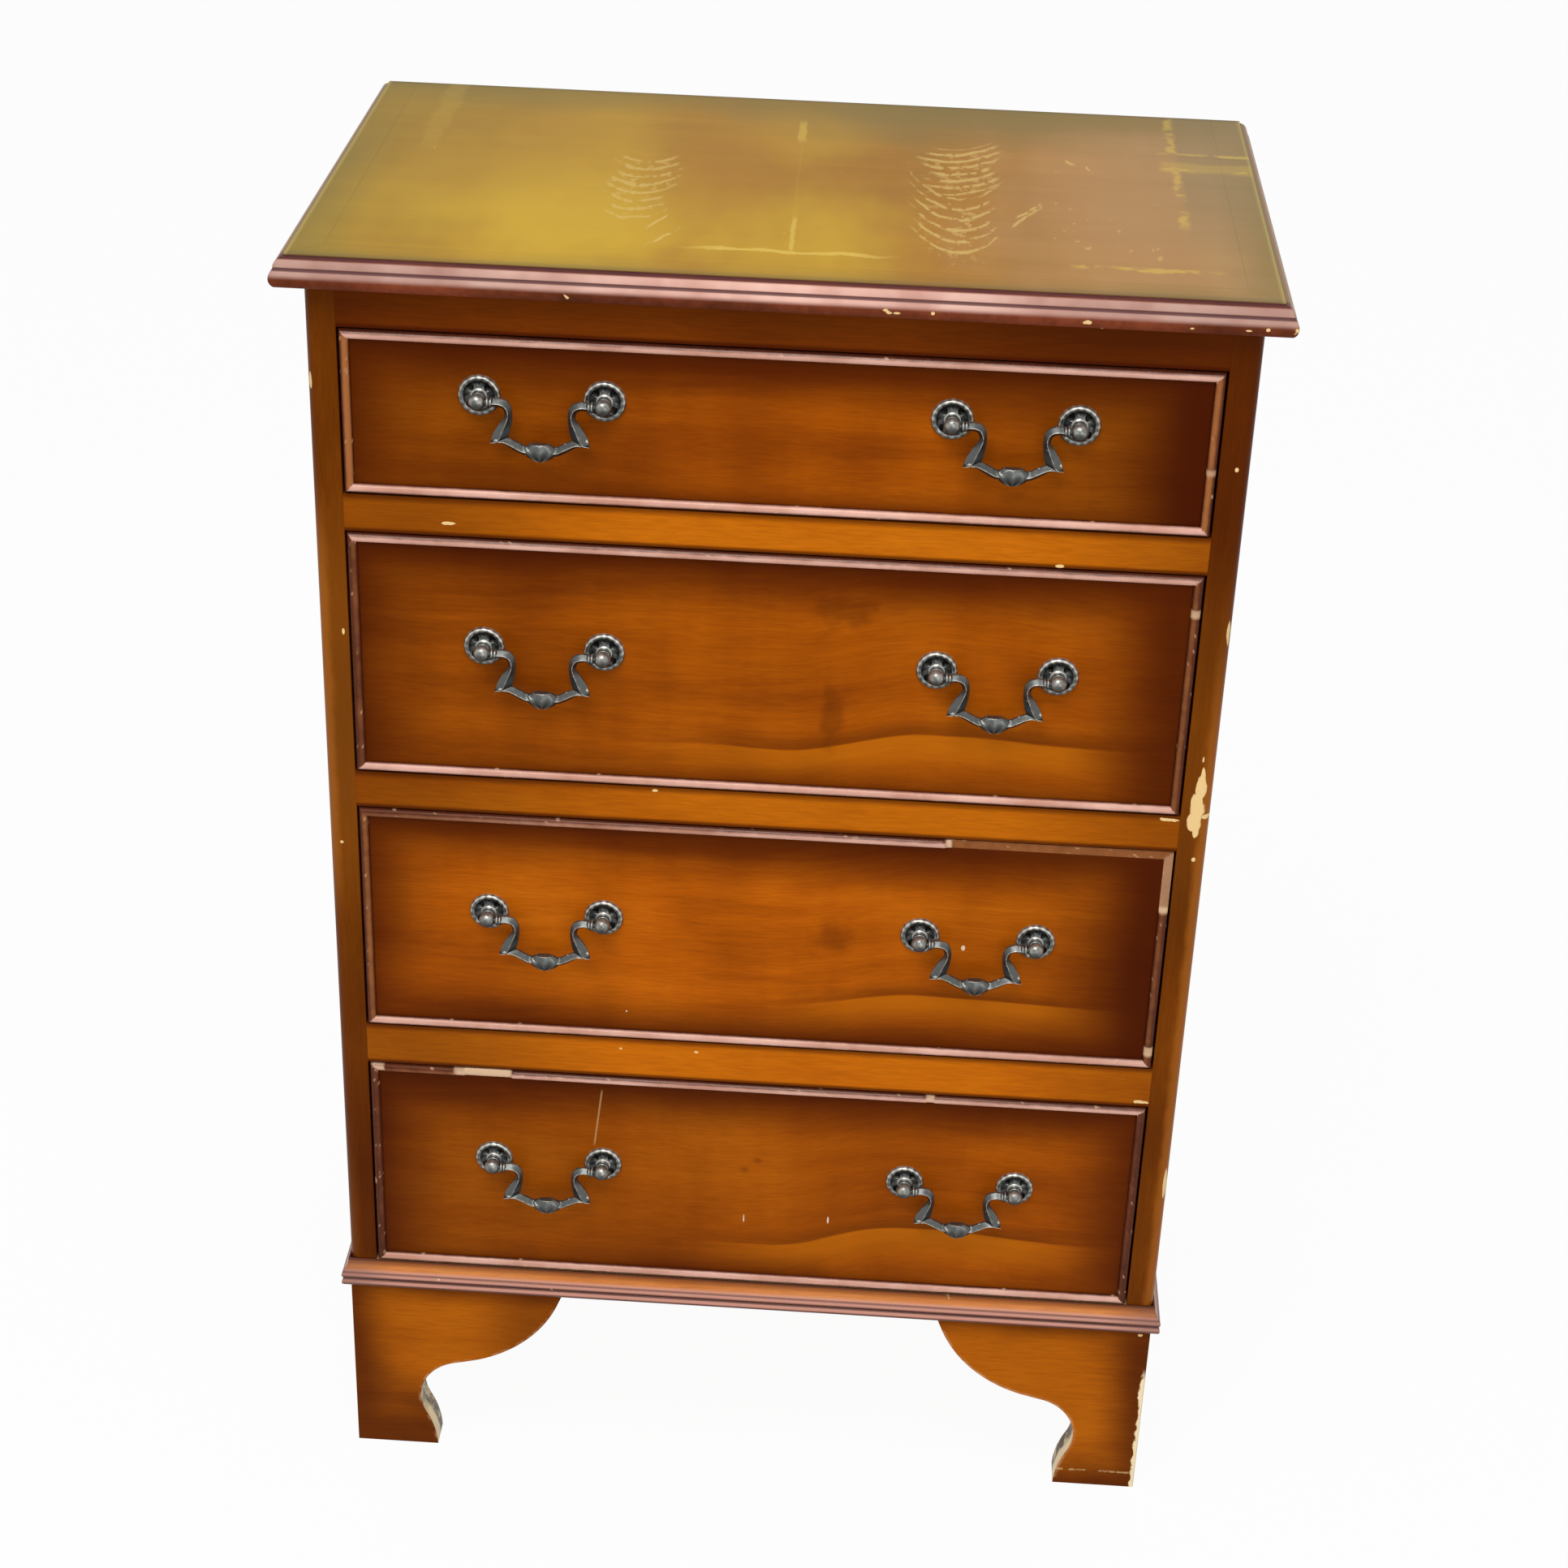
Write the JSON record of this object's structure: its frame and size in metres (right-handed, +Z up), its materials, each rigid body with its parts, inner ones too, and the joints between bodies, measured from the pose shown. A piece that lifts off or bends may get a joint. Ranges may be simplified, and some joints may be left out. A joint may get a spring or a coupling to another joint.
{
  "type": "bachelors chest",
  "caption": "Small veneered chest of graduated drawers with cock beads, swan-neck drop handles, a moulded top and ogee bracket feet.",
  "frame": {"origin": "middle of the footprint on the floor", "axes": "+X to the right of someone facing the drawers, +Y to the back, +Z up"},
  "size_m": [0.508, 0.312, 0.77],
  "materials": {
    "yew_veneer": "satin lacquer on orange-brown yew veneer, shaded darker at the edges",
    "mahogany_moulding": "satin lacquer on red-brown mahogany",
    "drawer_wood": "plain sanded wood",
    "hardboard": "smooth board, unfinished",
    "antique_brass": "dark antiqued brass with worn light edges"
  },
  "bodies": {
    "carcass": {"top_panel": "yew_veneer", "top_moulding_front": "mahogany_moulding", "top_moulding_left": "mahogany_moulding", "top_moulding_right": "mahogany_moulding", "side_panel_left": "yew_veneer", "side_panel_right": "yew_veneer", "back_panel": "hardboard", "bottom_panel": "drawer_wood", "top_rail_front": "yew_veneer", "top_rail_rear": "drawer_wood", "drawer_rail_upper": "yew_veneer", "drawer_rail_middle": "yew_veneer", "drawer_rail_lower": "yew_veneer", "drawer_runners": "drawer_wood", "drawer_stops": "drawer_wood", "plinth_moulding_front": "mahogany_moulding", "plinth_moulding_left": "mahogany_moulding", "plinth_moulding_right": "mahogany_moulding", "foot_front_left": "yew_veneer", "foot_front_right": "yew_veneer", "foot_rear_left": "yew_veneer", "foot_rear_right": "yew_veneer", "foot_glue_blocks": "drawer_wood"},
    "drawer_1": {"drawer_1_front": "yew_veneer", "drawer_1_cock_beads": "mahogany_moulding", "drawer_1_sides": "drawer_wood", "drawer_1_back": "drawer_wood", "drawer_1_bottom": "hardboard", "drawer_1_rosettes": "antique_brass", "drawer_1_handle_posts": "antique_brass"},
    "drawer_1_bail_left": {"drawer_1_bail_left": "antique_brass"},
    "drawer_1_bail_right": {"drawer_1_bail_right": "antique_brass"},
    "drawer_2": {"drawer_2_front": "yew_veneer", "drawer_2_cock_beads": "mahogany_moulding", "drawer_2_sides": "drawer_wood", "drawer_2_back": "drawer_wood", "drawer_2_bottom": "hardboard", "drawer_2_rosettes": "antique_brass", "drawer_2_handle_posts": "antique_brass"},
    "drawer_2_bail_left": {"drawer_2_bail_left": "antique_brass"},
    "drawer_2_bail_right": {"drawer_2_bail_right": "antique_brass"},
    "drawer_3": {"drawer_3_front": "yew_veneer", "drawer_3_cock_beads": "mahogany_moulding", "drawer_3_sides": "drawer_wood", "drawer_3_back": "drawer_wood", "drawer_3_bottom": "hardboard", "drawer_3_rosettes": "antique_brass", "drawer_3_handle_posts": "antique_brass"},
    "drawer_3_bail_left": {"drawer_3_bail_left": "antique_brass"},
    "drawer_3_bail_right": {"drawer_3_bail_right": "antique_brass"},
    "drawer_4": {"drawer_4_front": "yew_veneer", "drawer_4_cock_beads": "mahogany_moulding", "drawer_4_sides": "drawer_wood", "drawer_4_back": "drawer_wood", "drawer_4_bottom": "hardboard", "drawer_4_rosettes": "antique_brass", "drawer_4_handle_posts": "antique_brass"},
    "drawer_4_bail_left": {"drawer_4_bail_left": "antique_brass"},
    "drawer_4_bail_right": {"drawer_4_bail_right": "antique_brass"}
  },
  "joints": [
    {"name": "drawer_1_slide", "type": "slide", "parent": "carcass", "child": "drawer_1", "axis": [0, -1, 0], "range_m": [0, 0.215]},
    {"name": "drawer_1_bail_left_hinge", "type": "hinge", "parent": "drawer_1", "child": "drawer_1_bail_left", "pos_m": [-0.12, -0.151, 0.6975], "axis": [-1, 0, 0], "range_deg": [-8, 170]},
    {"name": "drawer_1_bail_right_hinge", "type": "hinge", "parent": "drawer_1", "child": "drawer_1_bail_right", "pos_m": [0.12, -0.151, 0.6975], "axis": [-1, 0, 0], "range_deg": [-8, 170]},
    {"name": "drawer_2_slide", "type": "slide", "parent": "carcass", "child": "drawer_2", "axis": [0, -1, 0], "range_m": [0, 0.215]},
    {"name": "drawer_2_bail_left_hinge", "type": "hinge", "parent": "drawer_2", "child": "drawer_2_bail_left", "pos_m": [-0.12, -0.151, 0.5555], "axis": [-1, 0, 0], "range_deg": [-8, 170]},
    {"name": "drawer_2_bail_right_hinge", "type": "hinge", "parent": "drawer_2", "child": "drawer_2_bail_right", "pos_m": [0.12, -0.151, 0.5555], "axis": [-1, 0, 0], "range_deg": [-8, 170]},
    {"name": "drawer_3_slide", "type": "slide", "parent": "carcass", "child": "drawer_3", "axis": [0, -1, 0], "range_m": [0, 0.215]},
    {"name": "drawer_3_bail_left_hinge", "type": "hinge", "parent": "drawer_3", "child": "drawer_3_bail_left", "pos_m": [-0.12, -0.151, 0.3905], "axis": [-1, 0, 0], "range_deg": [-8, 170]},
    {"name": "drawer_3_bail_right_hinge", "type": "hinge", "parent": "drawer_3", "child": "drawer_3_bail_right", "pos_m": [0.12, -0.151, 0.3905], "axis": [-1, 0, 0], "range_deg": [-8, 170]},
    {"name": "drawer_4_slide", "type": "slide", "parent": "carcass", "child": "drawer_4", "axis": [0, -1, 0], "range_m": [0, 0.215]},
    {"name": "drawer_4_bail_left_hinge", "type": "hinge", "parent": "drawer_4", "child": "drawer_4_bail_left", "pos_m": [-0.12, -0.151, 0.2215], "axis": [-1, 0, 0], "range_deg": [-8, 170]},
    {"name": "drawer_4_bail_right_hinge", "type": "hinge", "parent": "drawer_4", "child": "drawer_4_bail_right", "pos_m": [0.12, -0.151, 0.2215], "axis": [-1, 0, 0], "range_deg": [-8, 170]}
  ]
}
